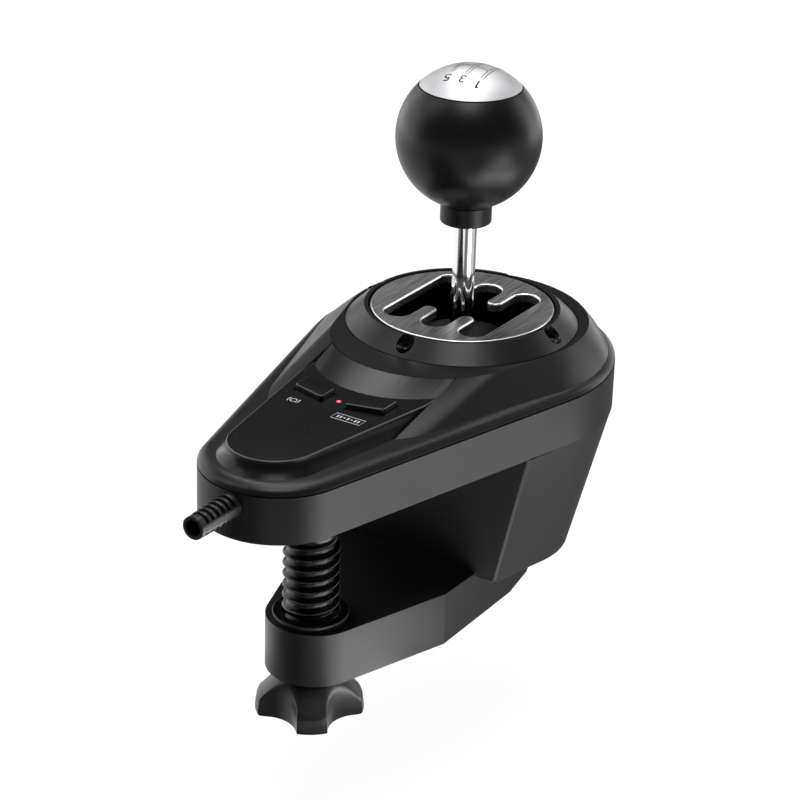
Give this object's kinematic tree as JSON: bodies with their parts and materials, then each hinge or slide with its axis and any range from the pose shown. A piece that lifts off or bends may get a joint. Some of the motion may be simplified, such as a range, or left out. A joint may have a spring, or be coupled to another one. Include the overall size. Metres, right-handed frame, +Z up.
{
  "type": "sim racing gear shifter",
  "caption": "Desk-clamped H-pattern gear shifter: black teardrop housing, slotted metal gate, ball-knob lever on a gimbal, two buttons and a screw clamp.",
  "frame": {"origin": "On the clamp screw's axis, at the flat face of the upper jaw that rests on the desk top.", "axes": "+Z up; +Y from the cable end towards the round lever end; +X to the right seen from the cable end."},
  "size_m": [0.1086, 0.2094, 0.205],
  "materials": {
    "shell_plastic": "fine spark texture",
    "cover_plastic": "fine spark texture",
    "panel_plastic": "smooth satin",
    "button_plastic": "smooth satin",
    "knob_plastic": "smooth satin",
    "nut_plastic": "moulded",
    "shield_plastic": "smooth",
    "switch_plastic": "moulded",
    "rubber": "moulded",
    "gate_metal": "brushed, dark anodised, bright cut edges",
    "chrome": "polished",
    "cap_metal": "satin",
    "black_steel": "black oxide",
    "plain_steel": "zinc plated",
    "board": "solder mask",
    "red_lens": "clear red"
  },
  "bodies": {
    "housing": {"base_shell": "shell_plastic", "top_cover": "cover_plastic", "control_panel": "panel_plastic", "gate_ring": "cover_plastic", "gate_plate": "gate_metal", "ring_screws": "black_steel", "clamp_frame": "shell_plastic", "frame_screws": "plain_steel", "cover_screws": "black_steel", "jaw_pad": "rubber", "screw_nut": "nut_plastic", "cable_boot": "rubber", "panel_board": "board", "tact_switches": "switch_plastic", "light_pipe": "red_lens", "pivot_bracket": "plain_steel", "bracket_screws": "plain_steel", "centring_spring": "plain_steel", "select_sensor": "switch_plastic"},
    "yoke": {"select_yoke": "plain_steel", "shift_sensor": "switch_plastic"},
    "lever": {"shift_pin": "plain_steel", "lever_hub": "plain_steel", "shift_rod": "chrome", "dust_shield": "shield_plastic", "knob_collar": "knob_plastic", "knob_body": "knob_plastic", "knob_cap": "cap_metal"},
    "left_button": {"button_left": "button_plastic"},
    "right_button": {"button_right": "button_plastic"},
    "pad": {"clamp_pad": "nut_plastic"},
    "screw": {"clamp_screw": "black_steel", "star_knob": "nut_plastic"}
  },
  "joints": [
    {"name": "select", "type": "hinge", "parent": "housing", "child": "yoke", "pos_m": [0, 0.0906, -0.02], "axis": [0, 1, 0], "range_deg": [-16.2, 16.2], "stiffness_Nm_per_rad": 0.8},
    {"name": "shift", "type": "hinge", "parent": "yoke", "child": "lever", "pos_m": [0, 0.0906, -0.02], "axis": [1, 0, 0], "range_deg": [-17, 17]},
    {"name": "press_left", "type": "slide", "parent": "housing", "child": "left_button", "axis": [0, 0, -1], "range_m": [0, 0.001], "stiffness_N_per_m": 400},
    {"name": "press_right", "type": "slide", "parent": "housing", "child": "right_button", "axis": [0, 0, -1], "range_m": [0, 0.001], "stiffness_N_per_m": 400},
    {"name": "clamp_slide", "type": "slide", "parent": "housing", "child": "pad", "axis": [0, 0, -1], "range_m": [0, 0.032]},
    {"name": "clamp_turn", "type": "hinge", "parent": "pad", "child": "screw", "pos_m": [0, 0, -0.04], "axis": [0, 0, -1], "range_deg": [0, 2880]}
  ],
  "couplings": [
    {"joint": "clamp_turn", "follows": "clamp_slide", "rad_per_m": 1570.8}
  ]
}
